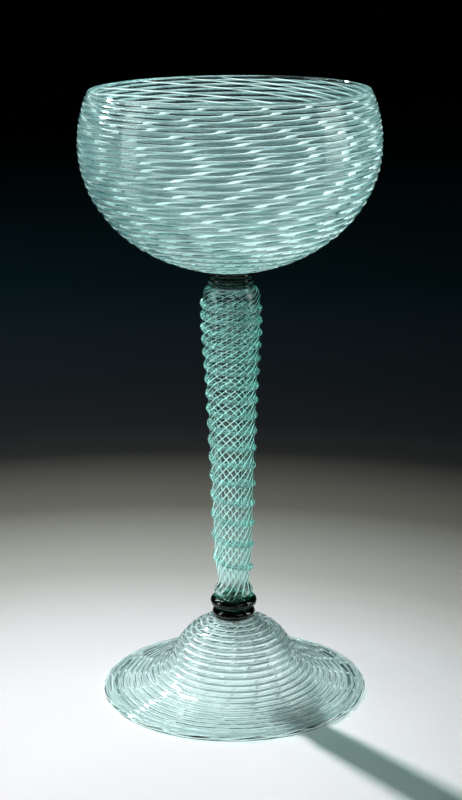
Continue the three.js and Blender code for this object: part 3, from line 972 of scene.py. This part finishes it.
# %% Seat the pieces in the frame
place_in_frame(bowl_wall, "clear_glass", "bowl_wall")
place_in_frame(bowl_milk, "pale_thread", "bowl_thread")
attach(bowl_threads, "root")
place_in_frame(stem_glass, "clear_glass", "stem_tube")
place_in_frame(stem_threads, "white_thread", *[f"stem_thread_{i:02d}" for i in range(1, CANE_COUNT + 1)])
place_in_frame(stem_trail, "trail_glass", "stem_trail")
place_in_frame(foot_glass, "clear_glass", "foot_wall", "foot_rim")
place_in_frame(foot_milk, "pale_thread", "foot_thread")
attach(foot_threads, "root")
print("all pieces ride on the root")

# %% [markdown]
# ## The floor
# The floor is pale under the goblet and falls away to nearly black further off, as a long sheet of
# paper does when only its near part is lit. A colour ramp over the distance backwards from a pale
# middle paints that light into the floor's colour: a painted pool of light under the goblet that fades
# to painted shade further off. So the painted floor makes the backdrop, and no extra light falls on
# the glass.

# %% Floor
FLOOR_RADIUS = 14.0
FLOOR_SIDES = 64
# Painted light: the middle of the painted pool of light, and the floor's colours outwards from it, pale to
# nearly black as the light falls off.
LIT_POOL_MIDDLE = (-0.035, -0.10, 0)
PAINTED_LIGHT_STOPS = (
    (0.05, (0.88, 0.88, 0.9)), (0.11, (0.78, 0.78, 0.8)), (0.17, (0.6, 0.61, 0.62)),
    (0.24, (0.31, 0.325, 0.3)), (0.34, (0.085, 0.088, 0.074)), (0.44, (0.012, 0.013, 0.0128)),
    (0.5, (0.0066, 0.0078, 0.0088)), (0.6, (0.004, 0.0056, 0.0066)),
    (0.8, (0.0022, 0.0045, 0.0055)), (0.95, (0.0009, 0.0033, 0.0038)))


def floor_material():
    material, tree = new_material("floor_paper_painted_light")
    where = Field(tree, tree.nodes.new("ShaderNodeTexCoord").outputs["Object"]) - LIT_POOL_MIDDLE
    backwards = vector_of(tree, where.part("X"), where.part("Y").math("MAXIMUM", 0), 0)
    # The ramp paints the pool of light and its falloff to shade into the floor's colour.
    ramp = make(tree, "ShaderNodeValToRGB", {"Fac": backwards.math("LENGTH")})
    elements = ramp.color_ramp.elements
    elements.remove(elements[0])
    elements[0].position, elements[0].color = PAINTED_LIGHT_STOPS[0][0], (*PAINTED_LIGHT_STOPS[0][1], 1)
    for position, colour in PAINTED_LIGHT_STOPS[1:]:
        element = elements.new(position)
        element.color = (*colour, 1)
    shader = make(tree, "ShaderNodeBsdfPrincipled", {
        "Base Color": ramp.outputs[0], "Roughness": 0.9, "Specular IOR Level": 0.0})
    out = tree.nodes.new("ShaderNodeOutputMaterial")
    tree.links.new(shader.outputs[0], out.inputs["Surface"])
    return material


def floor_corner(i):
    angle = math.tau * i / FLOOR_SIDES
    return FLOOR_RADIUS * math.cos(angle), FLOOR_RADIUS * math.sin(angle), 0


floor_mesh = bpy.data.meshes.new("floor")
floor_mesh.from_pydata([floor_corner(i) for i in range(FLOOR_SIDES)], [], [list(range(FLOOR_SIDES))])
floor = bpy.data.objects.new("floor", floor_mesh)
floor_mesh.materials.append(floor_material())
scene.collection.objects.link(floor)
print("floor:", 2 * FLOOR_RADIUS, "m across, with", len(PAINTED_LIGHT_STOPS), "colours")

# %% [markdown]
# ## Lights
# A small high light stands behind on the left and throws the long shadow to the front right. A tall
# soft light on the left and a wide weak one in front on the right fill in. Glass shows lights mostly as
# reflections. So three more lights are hidden from matt surfaces such as the floor, and only add the
# glints on bowl, stem and foot.

# %% Lights


def soft_light(name, place, target, width, height, watts, only_gloss=False):
    """An area light at a place, turned to a target."""
    data = bpy.data.lights.new(name, "AREA")
    data.shape = "RECTANGLE"
    data.size, data.size_y = width, height
    data.energy = watts
    light = bpy.data.objects.new(name, data)
    light.location = place
    light.rotation_mode = "QUATERNION"
    light.rotation_quaternion = (Vector(target) - Vector(place)).to_track_quat("-Z", "Y")
    light.visible_diffuse = not only_gloss
    scene.collection.objects.link(light)
    return light


FOOT_SPOT = (0, 0, 0.02)
LOW_SPOT = (0, 0, 0.05)
MIDDLE_SPOT = (0, 0, 0.1)
STEM_SPOT = (0, 0, 0.15)
LEFT_SIDE = (-1.0, -0.2, 0.35)

lights = (
    soft_light("high_light", (-0.56, 0.78, 0.86), LOW_SPOT, 0.07, 0.07, 24),
    soft_light("side_light", LEFT_SIDE, STEM_SPOT, 0.28, 0.8, 2.4),
    soft_light("side_sheen", LEFT_SIDE, STEM_SPOT, 0.28, 0.8, 26, only_gloss=True),
    soft_light("back_sheen", (-0.6, 0.45, 0.95), FOOT_SPOT, 0.12, 0.6, 4, only_gloss=True),
    soft_light("right_sheen", (1.0, -0.1, 0.35), STEM_SPOT, 0.4, 0.7, 3, only_gloss=True),
    soft_light("front_light", (0.8, -1.1, 0.9), MIDDLE_SPOT, 0.9, 0.9, 1.5))
print("lights in watts:", {light.name: round(light.data.energy, 1) for light in lights})

# %% [markdown]
# ## The room
# The room is nearly dark behind the goblet and glows faintly above and in front of it, so that the dark
# rings don't turn quite black. Light goes through many layers of glass here, in at one wall and out of
# the next, with canes and bands between them, so a ray may pass many more surfaces than usual.

# %% Room
ROOM_DARK, ROOM_LIGHT = 0.002, 0.04
ROOM_COLOUR = (0.95, 1, 1, 1)
ABOVE_WEIGHT, FRONT_WEIGHT = 0.6, 0.8

world = bpy.data.worlds.new("studio")
scene.world = world
world.use_nodes = True
world_tree = world.node_tree
world_tree.nodes.clear()
towards = Field(world_tree, world_tree.nodes.new("ShaderNodeTexCoord").outputs["Generated"])
facing = towards.part("Z") * ABOVE_WEIGHT - towards.part("Y") * FRONT_WEIGHT
room = make(world_tree, "ShaderNodeMapRange", {
    "Value": facing, "From Min": 0.0, "From Max": 0.9, "To Min": ROOM_DARK, "To Max": ROOM_LIGHT},
    interpolation_type="SMOOTHSTEP")
glow = make(world_tree, "ShaderNodeBackground", {"Color": ROOM_COLOUR, "Strength": room.outputs[0]})
world_out = world_tree.nodes.new("ShaderNodeOutputWorld")
world_tree.links.new(glow.outputs[0], world_out.inputs["Surface"])

scene.cycles.max_bounces = 32
scene.cycles.transmission_bounces = 28
scene.cycles.glossy_bounces = 8
scene.cycles.transparent_max_bounces = 48
print("a ray may pass", scene.cycles.transmission_bounces, "surfaces of glass")
